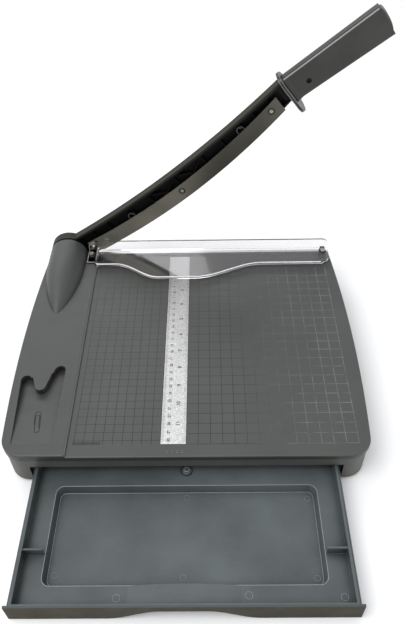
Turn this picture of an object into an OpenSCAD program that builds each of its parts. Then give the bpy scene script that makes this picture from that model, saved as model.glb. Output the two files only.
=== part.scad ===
// Guillotine paper cutter with a storage drawer.
// Millimetres, +Z up. X runs along the cut, -Y is the side the user stands at.
// The origin is on the desk, below the middle of the work table.

/* [Table] */
// Widest width of the work table
table_w = 390.4; // [386:0.4:396]
// Depth of the work table, front edge to cutting edge
table_d = 320; // [314:1:322]
// Height of the work surface above the desk
table_z = 48; // [47:1:52]
// Rise of the fence strip above the work surface
strip_rise = 3; // [2:0.5:4]
// X of the fence, the step between the strip and the work surface
fence_x = -122.6; // [-124:0.2:-122]

/* [Arm] */
// Angle of the raised arm above the table
arm_angle = 38.5; // [0:0.1:60]
// X of the pivot axis
pivot_x = -163; // [-165:1:-162]
// Height of the pivot axis above the desk
pivot_z = 47; // [46:1:48]
// Reach of the arm from the pivot to the end of the grip
arm_reach = 484; // [470:1:500]
// Width of the moving blade
blade_w = 19.6; // [19:0.2:21]
// Thickness of the moving blade
blade_t = 1.8; // [1.5:0.1:2.2]

/* [Drawer] */
// How far the drawer is pulled out
drawer_out = 140.5; // [0:0.5:140.5]
// Width of the drawer front
front_w = 321; // [318:1:324]

/* [Guard] */
// Clear gap for paper under the finger guard
paper_gap = 6; // [5:0.5:8]
// Height of the guard's upright wall above the work surface
guard_h = 22; // [18:1:26]

/* [Hidden] */
$fn = 64;
eps = 0.01;

// Work table and housing
cut_y = table_d / 2;
front_y = -table_d / 2;
half_w = table_w / 2;
strip_z = table_z + strip_rise;
fence_run = 1.8;
side_r = 1720;
side_y = -13.5;
front_corner = 24.5;
rear_corner = 10;
floor_z = 4;
seam_z = table_z - 6;
skin = 3;
wall = 2.5;
shell_inset = 1.5;
rear_wall_y = cut_y - 7.5;
bay_x = 162.5;
bay_top = 28.4;
bay_rear = 27.5;
plinth = 3.5;

// Ruler set in the table
ruler_x = -13.1;
ruler_w = 26;
ruler_front = cut_y - 304.7;
ruler_rear = cut_y - 12.9;
ruler_t = 1;
ruler_sink = 0.8;

// Cutting edge
edge_x0 = fence_x + 1;
edge_x1 = 181;
edge_t = 4;
edge_h = 18;
edge_screws = [-112, -40, 45, 120, 170];
blade_gap = 0.12;

// Pivot
disc_r = 25;
bolt_r = 6;
bracket_t = 5;
bracket_y = rear_wall_y - bracket_t;
arm_d = 12;
blade_y = cut_y + blade_gap;
arm_y = blade_y + blade_t;
arm_back = arm_y + arm_d;
arm_mid = arm_y + arm_d / 2;
cover_t = 2.4;
cover_y = arm_back - 2;

// Fairing over the pivot
fairing_len = 124;
fairing_straight = 30;
fairing_arc = 200;
fairing_gap = 1.2;

// Blade and arm outline
blade_x0 = 31;
blade_x1 = 345.3;
blade_screw_x = [56, 184, 332];
ring_boss_x = [107, 290];
collar_x = 358.6;
collar_t = 3.6;
grip_x = collar_x + collar_t;
collar_z = 0.4;
grip_w = 20;
grip_top = 21.9;
grip_low = -9.5;
grip_rise = 1.1;
grip_drop = 2.4;
grip_wall = 2.4;
rib_t = 0.9;

// The near screw of the grip enters in front, the far one from behind
near_screw = [384.8, 3.3];
far_screw = [452, 4.5];
head_in = 6.5;

// Drawer
panel_t = 2.2;
panel_z0 = 1.5;
panel_z1 = 27.8;
tray_hw = 155.6;
tray_front = front_y + shell_inset + panel_t - drawer_out;
tray_len = 173;
tray_rear = tray_front + tray_len;
tray_wall = 2.4;
tray_low = 5;
ledge_z = 15.5;
pan_z = 6;
pan_hw = 133.2;
pan_front = tray_front + 21.8;
pan_len = 101.3;
scoop_hw = 52;
scoop_rise = 5.5;
arch_hw = 70;
arch_flat = 22;
arch_rise = 16.5;
scoop_r = (scoop_hw * scoop_hw + scoop_rise * scoop_rise) / (2 * scoop_rise);

// Guard
guard_x0 = -135;
guard_x1 = 184;
guard_z = table_z + paper_gap;
guard_t = 2.2;
lip_h = 3.4;
guard_wall_y = cut_y - 4.5;
post_x = 177;
post_y = cut_y - 12;

// Left, right and rear screw towers between the two housings
towers = [
    [-176, -20], [-177, 78], [176, -105], [177, 20],
    [176, 110], [-70, 140], [60, 140]
];

// Posts for the screws of the bottom cover
cover_posts = [[-153, 35], [153, 35], [-130, 146], [130, 146]];

grey = [0.36, 0.37, 0.36];
drawer_grey = [0.35, 0.38, 0.39];
black = [0.1, 0.1, 0.1];
steel = [0.62, 0.6, 0.56];
clear = [0.85, 0.8, 0.88, 0.4];

// ---------------------------------------------------------------- helpers

// A box given by its lowest and highest corners
module block(low, high) {
    translate(low) cube(high - low);
}

// A flat shape drawn in X and Z, made solid from y0 to y1
module upright(y0, y1) {
    translate([0, y1, 0]) rotate([90, 0, 0]) linear_extrude(y1 - y0) children();
}

// A flat shape drawn in X and Y, made solid from z0 to z1
module level(z0, z1) {
    translate([0, 0, z0]) linear_extrude(z1 - z0) children();
}

// A flat shape drawn in Y and Z, made solid from x0 to x1
module endways(x0, x1) {
    translate([x0, 0, 0]) rotate([90, 0, 90]) linear_extrude(x1 - x0) children();
}

// A round bar along Y
module bar_y(x, z, y0, y1, r) {
    translate([x, y1, z]) rotate([90, 0, 0]) cylinder(h = y1 - y0, r = r);
}

// A round bar along X
module bar_x(y, z, x0, x1, r) {
    translate([x0, y, z]) rotate([0, 90, 0]) cylinder(h = x1 - x0, r = r);
}

// A screw whose head stands on z = 0 and whose shank points down
module screw(head_r, head_h, shank_r, length) {
    difference() {
        cylinder(h = head_h, r = head_r);
        translate([0, 0, head_h - 1]) block([-head_r * 0.6, -0.45, 0], [head_r * 0.6, 0.45, 2]);
        translate([0, 0, head_h - 1]) block([-0.45, -head_r * 0.6, 0], [0.45, head_r * 0.6, 2]);
    }
    translate([0, 0, -length]) cylinder(h = length, r = shank_r);
}

// A rounded rectangle centred on the origin
module round_rect(w, h, r) {
    square([w - 2 * r, h], center = true);
    square([w, h - 2 * r], center = true);
    for (x = [-1, 1], y = [-1, 1])
        translate([x * (w / 2 - r), y * (h / 2 - r)]) circle(r);
}

// What a rounded corner takes off the table's outline
module corner_cut(x, y, r, inset) {
    difference() {
        translate([x, y]) square(60);
        translate([x, y]) circle(r - inset);
    }
}

// Half-width of the bowed table at a given y
function bowed(y) = half_w - pow(y - side_y, 2) / (2 * side_r);

// The table seen from above: bowed sides, large front corners
module table_outline(inset = 0) {
    difference() {
        intersection() {
            square([table_w, table_d - 2 * inset], center = true);
            translate([half_w - side_r, side_y]) circle(side_r - inset, $fn = 720);
            translate([side_r - half_w, side_y]) circle(side_r - inset, $fn = 720);
        }
        for (m = [0, 1]) mirror([m, 0]) {
            corner_cut(bowed(cut_y - rear_corner) - rear_corner, cut_y - rear_corner, rear_corner, inset);
            mirror([0, 1])
                corner_cut(bowed(front_y + front_corner) - front_corner, -front_y - front_corner,
                    front_corner, inset);
        }
    }
}

// The table as a slab whose top edge is rounded
module rounded_slab(z0, z1) {
    hull() {
        level(z0, z1 - 1.6) table_outline();
        level(z0, z1 - 0.5) table_outline(0.45);
        level(z0, z1) table_outline(1.5);
    }
}

// ---------------------------------------------------------------- housing

module base_shell() color(grey) difference() {
    union() {
        difference() {
            level(floor_z, seam_z) table_outline(shell_inset);
            level(floor_z + plinth, seam_z + 1) table_outline(shell_inset + wall);
        }
        intersection() {
            level(floor_z, seam_z) table_outline(shell_inset);
            block([-half_w, rear_wall_y, floor_z], [half_w, cut_y, seam_z]);
        }
        for (m = [0, 1]) mirror([m, 0, 0])
            block([bay_x, front_y + 3, floor_z], [bay_x + wall, bay_rear + wall, seam_z]);
        block([-bay_x - wall, bay_rear, floor_z], [bay_x + wall, bay_rear + wall, seam_z]);
        for (t = towers) translate([t[0], t[1], floor_z]) cylinder(h = seam_z - floor_z, r = 5.5);
        for (p = cover_posts)
            translate([p[0], p[1], floor_z + 2]) cylinder(h = 14, r = 4);
    }
    // drawer bay, open below and in front
    block([-bay_x, front_y - 1, 0], [bay_x, bay_rear, floor_z + plinth + 1]);
    block([-bay_x, front_y - 1, 0], [bay_x, front_y + 6, bay_top]);
    // seat and hole of the bottom cover
    block([-156.1, bay_rear + 4.4, 0], [156.1, rear_wall_y - 1.9, floor_z + 2]);
    block([-147, bay_rear + 12, 0], [147, rear_wall_y - 9, floor_z + plinth + 1]);
    // seat of the cutting edge
    block([edge_x0 - 0.1, cut_y - edge_t, table_z - edge_h], [edge_x1 + 0.1, cut_y + 1, seam_z + 1]);
    for (x = edge_screws) bar_y(x, table_z - 12, rear_wall_y - 1, cut_y, 1.65);
    // screw towers
    for (t = towers) translate([t[0], t[1], 0]) {
        cylinder(h = 30, r = 4.2);
        cylinder(h = 50, r = 2.1);
    }
    for (p = cover_posts) translate([p[0], p[1], 0]) cylinder(h = 17, r = 1.5);
    // room for the pivot's spacer and for the clip pocket's floor
    bar_y(pivot_x, pivot_z, rear_wall_y - 1, cut_y + 1, 9.9);
    block([-bay_x - wall - 0.1, cut_y - 309.1, seam_z - 2.05], [-bay_x + 0.1, cut_y - 198.9, seam_z + 1]);
    // pivot bracket screws and drawer runner screws
    for (x = [-12, 12], z = [14, 28]) bar_y(pivot_x + x, z, rear_wall_y - 1, cut_y - 2.5, 1.65);
    for (m = [0, 1], y = [-140, -70, 0]) mirror([m, 0, 0])
        bar_x(y, 24.25, bay_x - 1, bay_x + 4, 1.5);
    // dowel holes of the feet
    for (p = feet_at) translate([p[0], p[1], 0]) cylinder(h = 20, r = 3.05);
}

feet_at = [[-178, -124], [178, -124], [-172, 132], [172, 132]];

module rubber_feet() color(black)
    for (p = feet_at) translate([p[0], p[1], 0]) {
        cylinder(h = 1, r1 = 8, r2 = 9);
        translate([0, 0, 1]) cylinder(h = floor_z - 1, r = 9);
        translate([0, 0, floor_z - 1]) cylinder(h = plinth + 3, r = 3);
    }

module bottom_cover() color(black) difference() {
    union() {
        block([-156, bay_rear + 4.5, floor_z], [156, rear_wall_y - 2, floor_z + 2]);
        for (y = [60, 85, 110]) block([-140, y, floor_z + 1], [140, y + 1.8, floor_z + 6]);
    }
    for (p = cover_posts) translate([p[0], p[1], 0]) {
        cylinder(h = 10, r = 1.7);
        cylinder(h = floor_z + 1, r = 2.45);
    }
}

module bottom_cover_screws() color(steel)
    for (p = cover_posts)
        translate([p[0], p[1], floor_z + 1]) mirror([0, 0, 1]) screw(2.4, 0.9, 1.45, 11);

// Strip and sloping fence, seen from the front
module strip_section() {
    polygon([
        [-half_w - 2, seam_z - 1], [fence_x, seam_z - 1], [fence_x, table_z],
        [fence_x - fence_run, strip_z + eps], [-half_w - 2, strip_z + eps]
    ]);
}

// Clip pocket seen from above: two lobes behind, a rounded tongue between them
module pocket_outline() {
    difference() {
        union() {
            polygon([
                [-185.5, cut_y - 222], [-137.5, cut_y - 208],
                [-137.5, cut_y - 306], [-180, cut_y - 306]
            ]);
            translate([-179.5, cut_y - 221.5]) circle(6);
            translate([-143.5, cut_y - 208]) circle(6);
            polygon([
                [-149.5, cut_y - 206], [-143.5, cut_y - 202.5],
                [-137.5, cut_y - 215], [-157.5, cut_y - 240]
            ]);
        }
        hull() {
            translate([-162.5, cut_y - 230]) circle(6, $fn = 32);
            translate([-173.5, cut_y - 216]) square(0.2);
            translate([-149.5, cut_y - 200]) square(0.2);
        }
    }
}

// The pocket's floor is deepest behind and runs out to the surface in front
module pocket_void() {
    intersection() {
        level(seam_z, strip_z + 2) pocket_outline();
        endways(-half_w, fence_x) polygon([
            [cut_y - 190, seam_z + 0.6], [cut_y - 238, seam_z + 0.6],
            [cut_y - 305.5, strip_z - 0.5], [cut_y - 310, strip_z - 0.5],
            [cut_y - 310, strip_z + 2], [cut_y - 190, strip_z + 2]
        ]);
    }
}

// Stiffening ribs under the table and the strip
module table_ribs() {
    intersection() {
        level(seam_z, strip_z) table_outline(1);
        union() {
            for (x = [-104, -54, 28, 78, 128, 168])
                block([x, front_y, seam_z], [x + 1.6, cut_y - edge_t - 1, table_z - skin + 0.5]);
            for (y = [-110, -60, -10, 40, 90])
                block([fence_x, y, seam_z], [half_w, y + 1.6, table_z - skin + 0.5]);
            for (y = [-26, 12, 50, 88])
                block([-half_w, y, seam_z], [fence_x, y + 1.6, strip_z - skin + 0.5]);
            block([fence_x - 4, front_y, seam_z], [fence_x - 2, cut_y - 8, table_z]);
        }
    }
}

// Height of a screw boss below the strip or below the table
function boss_h(x) = (x < fence_x ? strip_z : table_z) - 1 - seam_z;

module table_top() color(grey) difference() {
    union() {
        difference() {
            union() {
                rounded_slab(seam_z, table_z);
                intersection() {
                    rounded_slab(seam_z, strip_z);
                    upright(front_y, cut_y) strip_section();
                }
            }
            level(seam_z - 1, table_z - skin) table_outline(wall);
            intersection() {
                level(seam_z - 1, strip_z - skin) table_outline(wall);
                block([-half_w, front_y, 0], [fence_x - 4, cut_y, strip_z]);
            }
        }
        intersection() {
            level(seam_z - 2, strip_z - 1) table_outline(wall + 2);
            block([-188, cut_y - 309, 0], [-135, cut_y - 199, strip_z]);
        }
        table_ribs();
        for (t = towers) translate([t[0], t[1], seam_z]) cylinder(h = boss_h(t[0]), r = 5);
        for (p = guard_screw_at) translate([p[0], p[1], seam_z]) cylinder(h = boss_h(p[0]), r = 4);
    }
    pocket_void();
    block([ruler_x - ruler_w / 2 - 0.1, ruler_front - 0.1, table_z - ruler_sink],
        [ruler_x + ruler_w / 2 + 0.1, ruler_rear + 0.1, table_z + 1]);
    block([edge_x0 - 0.1, cut_y - edge_t, 0], [edge_x1 + 0.1, cut_y + 1, table_z + 1]);
    // room for the pivot bracket, the bolt head and the spacer
    block([pivot_x - 16.5, bracket_y - 0.4, 0], [pivot_x + 16.5, cut_y + 1, strip_z + 1]);
    block([pivot_x - 11.5, bracket_y - 9, 0], [pivot_x + 11.5, bracket_y, strip_z + 1]);
    for (t = towers) translate([t[0], t[1], seam_z - 1]) cylinder(h = 4.6, r = 1.75);
    for (p = guard_screw_at) translate([p[0], p[1], seam_z - 1]) cylinder(h = 20, r = 1.55);
}

module housing_screws() color(steel)
    for (t = towers) translate([t[0], t[1], 30]) {
        translate([0, 0, -2.4]) cylinder(h = 2.4, r = 3.8);
        cylinder(h = seam_z - 30 + 3, r = 1.7);
    }

module ruler_plate() color([0.72, 0.73, 0.74])
    block([ruler_x - ruler_w / 2, ruler_front, table_z - ruler_sink],
        [ruler_x + ruler_w / 2, ruler_rear, table_z - ruler_sink + ruler_t]);

module counter_blade() color(steel) difference() {
    block([edge_x0, cut_y - edge_t, table_z - edge_h], [edge_x1, cut_y, table_z]);
    for (x = edge_screws) {
        bar_y(x, table_z - 12, cut_y - edge_t - 1, cut_y + 1, 1.8);
        bar_y(x, table_z - 12, cut_y - 1.9, cut_y + 1, 3.3);
    }
}

module counter_blade_screws() color(steel)
    for (x = edge_screws)
        translate([x, cut_y - 1.9, table_z - 12]) rotate([-90, 0, 0]) screw(3.2, 1.6, 1.6, 5.4);

// ------------------------------------------------------------------ pivot

// Radius of the fairing at a distance in front of the cutting edge
function ogive(d, r) =
    d < fairing_straight ? r
    : r - fairing_arc + sqrt(pow(fairing_arc, 2) - pow(d - fairing_straight, 2));

module fairing_body(r, length) {
    steps = 26;
    translate([pivot_x, cut_y, pivot_z]) rotate([90, 0, 0]) rotate_extrude($fn = 96)
        polygon(concat(
            [[0, 0], [r, 0]],
            [for (i = [0 : steps])
                let (d = fairing_straight + (length - fairing_straight) * i / steps)
                [max(ogive(d, r), 0.3), d]],
            [[0, length]]
        ));
}

module pivot_fairing() color(grey) difference() {
    intersection() {
        fairing_body(disc_r, fairing_len);
        block([pivot_x - 40, 0, strip_z], [pivot_x + 40, cut_y - fairing_gap, pivot_z + 40]);
    }
    translate([0, -wall, 0]) fairing_body(disc_r - wall, fairing_len - 12);
    bar_y(pivot_x, pivot_z, cut_y - wall - 1, cut_y + 1, 10);
}

module pivot_bracket() color(steel) difference() {
    upright(bracket_y, rear_wall_y) union() {
        translate([pivot_x, pivot_z]) circle(15.5);
        translate([pivot_x - 15.5, 20]) square([31, pivot_z - 20]);
        translate([pivot_x - 18, floor_z + plinth + 0.5]) square([36, 27]);
    }
    bar_y(pivot_x, pivot_z, bracket_y - 1, cut_y, bolt_r + 0.05);
    for (x = [-12, 12], z = [14, 28]) bar_y(pivot_x + x, z, bracket_y - 1, cut_y, 1.9);
}

module bracket_screws() color(steel)
    for (x = [-12, 12], z = [14, 28])
        translate([pivot_x + x, bracket_y, z]) rotate([90, 0, 0]) screw(3.4, 2.2, 1.6, 9.5);

module pivot_bolt() color(steel) {
    bar_y(pivot_x, pivot_z, bracket_y, arm_back + 11.5, bolt_r);
    translate([pivot_x, bracket_y, pivot_z]) rotate([90, 0, 0]) cylinder(h = 6.4, r = 10, $fn = 6);
}

// A ring about the pivot axis
module pivot_ring(y0, y1, r_in, r_out) {
    difference() {
        bar_y(pivot_x, pivot_z, y0, y1, r_out);
        bar_y(pivot_x, pivot_z, y0 - 1, y1 + 1, r_in);
    }
}

module pivot_spacer() color(steel)
    pivot_ring(rear_wall_y, arm_y - 0.1, bolt_r + 0.05, 9.4);

module pivot_washer() color(steel)
    pivot_ring(arm_back + 0.1, arm_back + 1.6, bolt_r + 0.05, 11.4);

module pivot_spring_washer() color(steel) difference() {
    pivot_ring(arm_back + 1.6, arm_back + 3.4, bolt_r + 0.2, 9.6);
    translate([pivot_x, 0, pivot_z]) rotate([0, 20, 0])
        block([0, arm_back, -0.8], [14, arm_back + 5, 0.8]);
}

module pivot_nut() color(steel) difference() {
    translate([pivot_x, arm_back + 9.4, pivot_z]) rotate([90, 0, 0])
        cylinder(h = 6, r = 10, $fn = 6);
    bar_y(pivot_x, pivot_z, arm_back, arm_back + 12, bolt_r + 0.03);
}

module pivot_cap() color(black) difference() {
    union() {
        bar_y(pivot_x, pivot_z, arm_back + 0.3, arm_back + 12.4, 13.4);
        bar_y(pivot_x, pivot_z, arm_back + 12.3, arm_back + 13.6, 12.2);
    }
    bar_y(pivot_x, pivot_z, arm_back, arm_back + 12, 11.45);
}

// -------------------------------------------------------------------- arm

// The raised arm: its own frame has x along the lowered arm and z up from the pivot
module on_arm() {
    translate([pivot_x, 0, pivot_z]) rotate([0, -arm_angle, 0]) children();
}

// Top of the spine, a long shallow arc
function spine(x) = 5.7 + 0.00036 * pow(x - 160, 2);

// Cutting edge of the blade, a rounder arc
function keen(x) = -31.4 + 0.00058 * pow(x - 155, 2);

// The arm's lower edge, above the blade's cutting edge
function belly(x) = keen(x) + 1.6;

// A band between two curves, lowered by drop and raised by lift
module band(x0, x1, drop, lift) {
    steps = 30;
    polygon(concat(
        [for (i = [0 : steps]) let (x = x0 + (x1 - x0) * i / steps) [x, belly(x) + drop]],
        [for (i = [steps : -1 : 0]) let (x = x0 + (x1 - x0) * i / steps) [x, spine(x) - lift]]
    ));
}

// Outline of the arm: round root and band, made smaller by inset along the root and the spine
module arm_outline(inset, drop, end_x = collar_x) {
    circle(disc_r - inset, $fn = 96);
    band(8, end_x, drop, inset);
}

// The hollow of the channel, open towards the table side
module channel() {
    difference() {
        band(20, collar_x - 4, 2.2, cover_t + 2);
        circle(disc_r - 1, $fn = 96);
    }
}

// Middle of the blade's width at x
function blade_mid(x) = keen(x) + blade_w / 2 + 1.8;

// Height of a ring boss that peeps over the blade
function boss_z(x) = keen(x) + blade_w + 1.4;

// Thin cross walls and the diagonal braces inside the channel
module channel_ribs() {
    intersection() {
        union() {
            for (x = [45, 70, 143, 186, 231, 263, 312])
                translate([x - rib_t / 2, -40]) square([rib_t, 80]);
            for (x = [166, 210], a = [-32, 32])
                translate([x, (spine(x) + belly(x)) / 2]) rotate(a) square([60, rib_t], center = true);
            translate([330, -4]) rotate(72) square([60, rib_t], center = true);
        }
        band(14, collar_x, 0.5, cover_t + 0.5);
    }
}

// Black channel that carries the blade; its tang runs through the grip
module arm_body() color(black) on_arm() difference() {
    union() {
        difference() {
            upright(arm_y, cover_y - 0.05) arm_outline(cover_t + 0.05, 0);
            upright(arm_y - 1, cover_y - 2) channel();
        }
        upright(arm_y + 2, cover_y - 1) channel_ribs();
        for (x = blade_screw_x) bar_y(x, blade_mid(x), arm_y, cover_y - 1, 4.4);
        for (x = ring_boss_x) bar_y(x, boss_z(x), arm_y + 0.6, cover_y - 1, 5.2);
        block([collar_x - 8, arm_mid - 4, -4], [arm_reach - 22, arm_mid + 3.9, 14]);
    }
    bar_y(0, 0, arm_y - 1, arm_back + 1, 8.02);
    for (x = blade_screw_x) bar_y(x, blade_mid(x), arm_y - 1, cover_y - 1.5, 1.6);
    for (x = ring_boss_x) bar_y(x, boss_z(x), arm_y, arm_y + 4, 3.2);
    for (x = ring_boss_x) bar_y(x, boss_z(x), arm_y, cover_y + 1, 1.6);
    for (p = [near_screw, far_screw]) bar_y(p[0], p[1], arm_mid - 9, arm_mid + 9, 2);
}

// Grey cover over the channel's spine, root and rear
module arm_cover() color(grey) on_arm() difference() {
    upright(arm_y, arm_back) arm_outline(0, 0);
    upright(arm_y - 1, cover_y) arm_outline(cover_t, -8, collar_x + 1);
    bar_y(0, 0, arm_y - 1, arm_back + 1, 8.02);
    for (x = ring_boss_x) bar_y(x, boss_z(x), arm_y, arm_back + 1, 1.8);
}

module arm_cover_screws() color(steel) on_arm()
    for (x = ring_boss_x) translate([x, arm_back, boss_z(x)]) rotate([-90, 0, 0]) screw(3, 1.6, 1.5, 6.5);

module arm_bush() color([0.72, 0.56, 0.32]) on_arm() difference() {
    bar_y(0, 0, arm_y, arm_back, 8);
    bar_y(0, 0, arm_y - 1, arm_back + 1, bolt_r + 0.05);
}

module moving_blade() color(steel) on_arm() difference() {
    upright(blade_y, arm_y) difference() {
        polygon(concat(
            [for (i = [0 : 36]) let (x = blade_x0 + (blade_x1 - blade_x0) * i / 36) [x, keen(x)]],
            [for (i = [36 : -1 : 0]) let (x = blade_x0 + (blade_x1 - blade_x0) * i / 36)
                [x, keen(x) + blade_w]]
        ));
        circle(disc_r + 4);
    }
    for (x = blade_screw_x) {
        bar_y(x, blade_mid(x), blade_y - 1, arm_y + 1, 1.9);
        bar_y(x, blade_mid(x), blade_y - 1, blade_y + 1.2, 3.5);
    }
}

module blade_screws() color(steel) on_arm()
    for (x = blade_screw_x)
        translate([x, blade_y + 1.2, blade_mid(x)]) rotate([90, 0, 0]) screw(3.4, 1.1, 1.5, 8);

// Oval collar between the arm and the grip
module hand_guard() color(black) on_arm() difference() {
    endways(collar_x, collar_x + collar_t) translate([arm_mid - 1, collar_z])
        intersection() {
            round_rect(28, 54.6, 13.9);
            circle(27.6);
        }
    endways(collar_x - 1, collar_x + collar_t + 1) translate([arm_mid, 5]) square([8.2, 18.2], center = true);
}

// One rounded corner of the grip's cross-section; side is -1 in front and 1 behind
module grip_corner(side, up, edge_z, r) {
    translate([arm_mid + side * (grip_w / 2 - r), edge_z - up * r]) circle(r);
}

// The four corners of the cross-section at x, set in by inset: sharp in front, round behind
module grip_corners(x, inset) {
    share = (x - grip_x) / (arm_reach - grip_x);
    top = grip_top + grip_rise * share - inset;
    low = grip_low - grip_drop * share + inset;
    translate([inset, 0]) grip_corner(-1, 1, top, max(0.5, 1.8 - inset));
    translate([inset, 0]) grip_corner(-1, -1, low, max(0.5, 3.5 - inset));
    translate([-inset, 0]) grip_corner(1, 1, top, max(0.5, 9.5 - inset));
    translate([-inset, 0]) grip_corner(1, -1, low, max(0.5, 6 - inset));
}

// A length of the grip, growing taller towards its end
module grip_length(x0, x1, inset) hull() {
    endways(x0, x0 + 1) grip_corners(x0, inset);
    endways(x1 - 1, x1) grip_corners(x1, inset);
}

// The whole grip as one hollow body, flared next to the collar
module grip_whole() {
    difference() {
        union() {
            grip_length(grip_x, arm_reach - 3, 0);
            hull() {
                endways(grip_x, grip_x + 1.5) translate([0, -1]) grip_corners(grip_x, -0.6);
                endways(grip_x + 9, grip_x + 10) grip_corners(grip_x + 9, 0.4);
            }
        }
        grip_length(grip_x + 2.5, arm_reach, grip_wall);
        block([grip_x - 1, arm_mid - 4.1, -4.1], [grip_x + 4, arm_mid + 4.1, 14.1]);
    }
}

// Screw posts inside the grip, on both sides of the arm's tang
module grip_posts(y0, y1) {
    for (p = [near_screw, far_screw]) bar_y(p[0], p[1], y0, y1, 4.2);
}

module grip_front() color(grey) on_arm() difference() {
    union() {
        intersection() {
            grip_whole();
            block([0, 0, -60], [arm_reach + 9, arm_mid - 0.02, 60]);
        }
        grip_posts(arm_mid - grip_w / 2 + 1, arm_mid - 4.05);
    }
    bar_y(near_screw[0], near_screw[1], arm_mid - 30, arm_mid, 1.8);
    bar_y(near_screw[0], near_screw[1], arm_mid - 30, arm_mid - head_in, 3);
    bar_y(far_screw[0], far_screw[1], arm_mid - 8, arm_mid, 1.55);
}

module grip_rear() color(grey) on_arm() difference() {
    union() {
        intersection() {
            grip_whole();
            block([0, arm_mid + 0.02, -60], [arm_reach + 9, arm_mid + 60, 60]);
        }
        grip_posts(arm_mid + 4.05, arm_mid + grip_w / 2 - 1);
    }
    bar_y(far_screw[0], far_screw[1], arm_mid, arm_mid + 30, 1.8);
    bar_y(far_screw[0], far_screw[1], arm_mid + head_in, arm_mid + 30, 3);
    bar_y(near_screw[0], near_screw[1], arm_mid, arm_mid + 8, 1.55);
}

module grip_screws() color(steel) on_arm() {
    translate([near_screw[0], arm_mid - head_in, near_screw[1]]) rotate([90, 0, 0])
        screw(2.6, 1.6, 1.5, head_in + 7.5);
    translate([far_screw[0], arm_mid + head_in, far_screw[1]]) rotate([-90, 0, 0])
        screw(2.6, 1.6, 1.5, head_in + 7.5);
}

// Domed plug in the end of the grip
module grip_end_cap() color([0.45, 0.46, 0.45]) on_arm() intersection() {
    grip_length(arm_reach - 14, arm_reach + 4, grip_wall + 0.1);
    bar_y(arm_reach - 40, 8, arm_mid - 30, arm_mid + 30, 40);
}

// ------------------------------------------------------------------ guard

// Smooth step from 0 to 1 between a and b
function blend(x, a, b) = let (t = min(1, max(0, (x - a) / (b - a)))) t * t * (3 - 2 * t);

// How far the guard reaches in front of the cutting edge at x
function reach(x) = 35 + 26 * blend(x, -96, -40) - 26 * blend(x, 8, 94);

// The guard's plate seen from above, its front edge set back by inset
module guard_plan(inset) {
    steps = 60;
    x0 = fence_x - 1 + inset;
    x1 = guard_x1 - inset;
    intersection() {
        polygon(concat(
            [[x1, guard_wall_y + 2], [x0, guard_wall_y + 2]],
            [for (i = [0 : steps]) let (x = x0 + (x1 - x0) * i / steps)
                [x, cut_y - reach(x) + inset]]
        ));
        union() {
            translate([x0, 0]) square([x1 - x0 - 9, cut_y]);
            translate([x0, cut_y - 22]) square([x1 - x0, 30]);
            translate([guard_x1 - 10, cut_y - 22]) circle(10 - inset);
        }
    }
}

guard_screw_at = [[-132.1, cut_y - 9.5], [post_x, post_y]];

module finger_guard() color(clear) difference() {
    union() {
        level(guard_z + lip_h - guard_t, guard_z + lip_h) guard_plan(0);
        // rim turned down along the front edge
        level(guard_z, guard_z + lip_h) difference() {
            guard_plan(0);
            guard_plan(1.6);
            translate([-200, cut_y - 10]) square([400, 20]);
        }
        // upright wall with rounded upper corners
        upright(guard_wall_y, guard_wall_y + 2) intersection() {
            translate([(guard_x0 + guard_x1) / 2, table_z + guard_h - 12])
                round_rect(guard_x1 - guard_x0, 24, 8);
            translate([guard_x0, guard_z]) square([guard_x1 - guard_x0, 40]);
        }
        // foot on the strip
        block([guard_x0 - 1, cut_y - 26, strip_z], [fence_x - 1 + eps, guard_wall_y + 2, strip_z + 2]);
        block([fence_x - 2.6, cut_y - 26, strip_z], [fence_x - 1 + eps, guard_wall_y + 2, guard_z + lip_h]);
        block([guard_x0, guard_wall_y, strip_z], [fence_x, guard_wall_y + 2, guard_z + 6]);
        bar_y(-131, table_z + 13, guard_wall_y - 1.2, guard_wall_y + eps, 2.2);
    }
    for (p = guard_screw_at) translate([p[0], p[1], strip_z - 1]) cylinder(h = 30, r = 1.8);
    block([post_x - 4, guard_wall_y - 4.2, guard_z - 1], [post_x + 4, guard_wall_y - 0.9, guard_z + 9]);
}

// Post that carries the guard's free end, with a nib that locates it
module guard_post() color(black) difference() {
    union() {
        translate([post_x, post_y, table_z]) cylinder(h = guard_z + lip_h - guard_t - table_z, r = 5);
        block([post_x - 3.9, post_y, table_z],
            [post_x + 3.9, guard_wall_y - 1, guard_z + lip_h - guard_t]);
        block([post_x - 3, guard_wall_y - 4, table_z],
            [post_x + 3, guard_wall_y - 1, guard_z + lip_h + 1.6]);
    }
    translate([post_x, post_y, table_z - 1]) cylinder(h = 20, r = 1.8);
}

module guard_screws() color(steel) {
    translate([guard_screw_at[0][0], guard_screw_at[0][1], strip_z + 2]) screw(3, 2, 1.5, 10);
    translate([post_x, post_y, guard_z + lip_h]) screw(3.2, 2, 1.5, 15);
}

// ----------------------------------------------------------------- drawer

// Channel that holds the drawer's rail, on the right side of the bay
module runner() difference() {
    union() {
        block([bay_x - 1.8, front_y + 4.8, 8], [bay_x - 0.05, 20, 28.3]);
        block([tray_hw + 0.6, front_y + 4.8, 20.2], [bay_x - 1, 20, 22.3]);
        block([tray_hw + 0.6, front_y + 4.8, 26.2], [bay_x - 1, 20, 28.3]);
        block([tray_hw + 1, front_y + 4.8, 8], [bay_x - 1, front_y + 9.8, 16]);
    }
    for (y = [-140, -70, 0]) bar_x(y, 24.25, bay_x - 4, bay_x + 2, 1.6);
}

module runner_right() color(black) runner();

module runner_left() color(black) mirror([1, 0, 0]) runner();

module runner_screws() color(steel)
    for (m = [0, 1], y = [-140, -70, 0]) mirror([m, 0, 0])
        translate([bay_x - 1.8, y, 24.25]) rotate([0, -90, 0]) screw(1.9, 1.4, 1.4, 5.6);

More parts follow.
